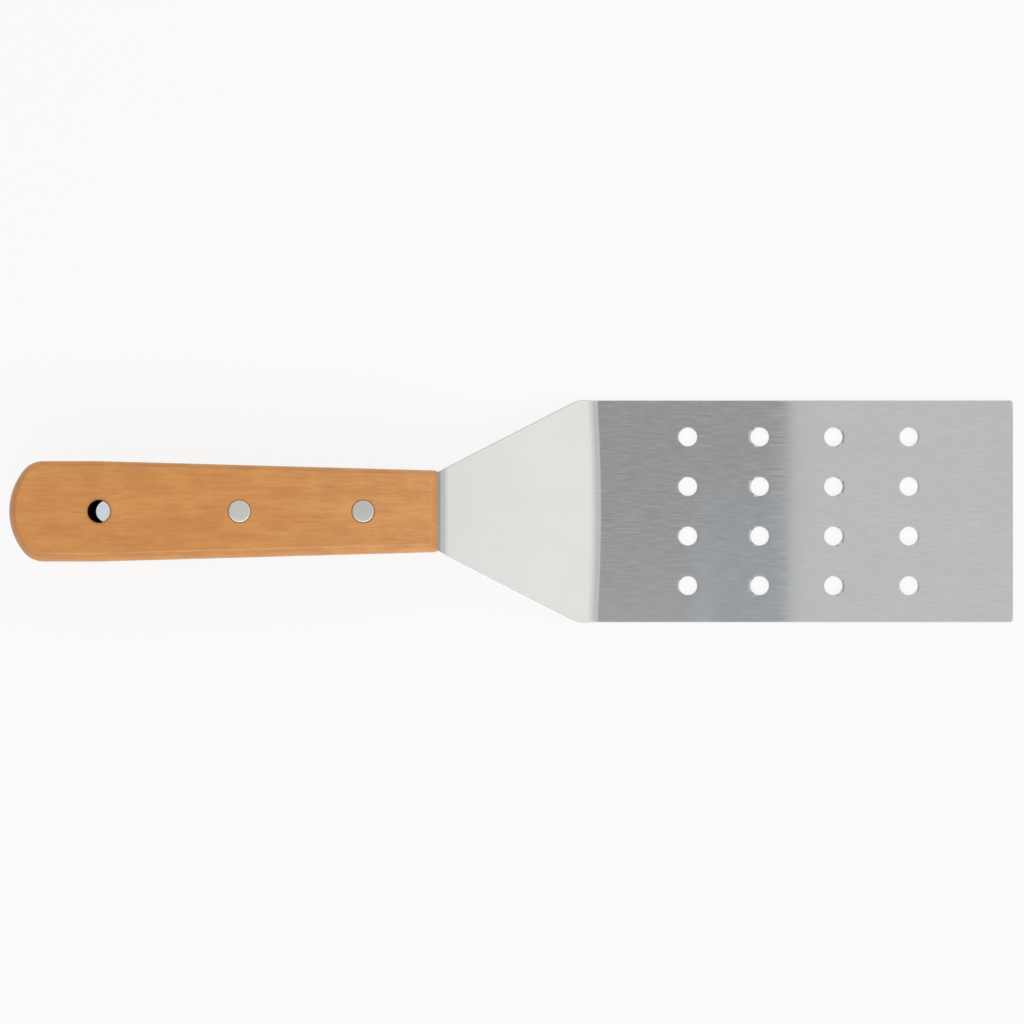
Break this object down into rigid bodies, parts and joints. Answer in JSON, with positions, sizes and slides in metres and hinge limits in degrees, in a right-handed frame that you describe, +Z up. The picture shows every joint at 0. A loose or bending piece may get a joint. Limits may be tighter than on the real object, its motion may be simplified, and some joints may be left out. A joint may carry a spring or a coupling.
{
  "type": "grill spatula",
  "caption": "Offset grill turner: perforated flat steel blade with a cranked neck and a tang riveted into a slotted wooden handle with a hanging hole.",
  "frame": {"origin": "on the plane that the blade lies on, halfway along the tool and on its centreline", "axes": "+X from the handle to the blade's tip, +Z up out of the blade's top face, +Y across the blade"},
  "size_m": [0.3212, 0.072, 0.0279],
  "materials": {
    "brushed_stainless": "brushed along the length",
    "oiled_beech": "sanded and oiled",
    "rivet_metal": "sanded flush, satin"
  },
  "bodies": {
    "root": {"turner_blade": "brushed_stainless", "handle": "oiled_beech", "front_rivet_stud": "rivet_metal", "front_rivet_socket": "rivet_metal", "rear_rivet_stud": "rivet_metal", "rear_rivet_socket": "rivet_metal"}
  },
  "joints": []
}
